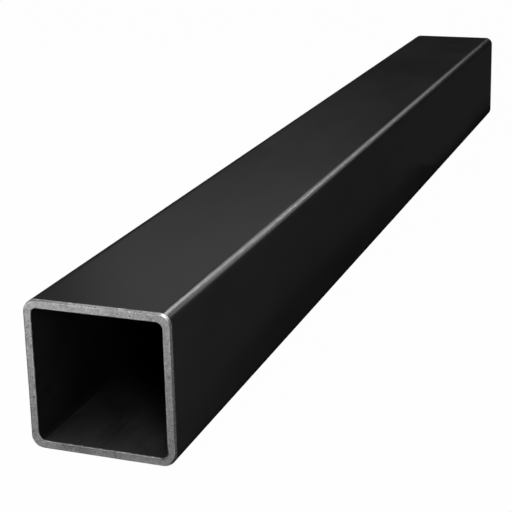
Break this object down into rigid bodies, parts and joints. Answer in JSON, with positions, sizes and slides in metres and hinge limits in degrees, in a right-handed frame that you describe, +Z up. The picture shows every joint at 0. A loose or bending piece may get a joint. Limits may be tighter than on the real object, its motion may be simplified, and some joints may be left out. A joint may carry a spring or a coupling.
{
  "type": "square metal tube",
  "caption": "Length of black square steel tube with rounded long edges, an open square bore and bright sawn ends, used as framing stock.",
  "frame": {"origin": "middle of the underside, halfway along the tube", "axes": "+X along the tube from the near cut end to the far one, +Z up through the top wall, -Y out of the front wall"},
  "size_m": [0.5, 0.05, 0.05],
  "materials": {
    "black_steel": "satin",
    "cut_steel": "matte"
  },
  "bodies": {
    "root": {"square_tube": "black_steel"}
  },
  "joints": []
}
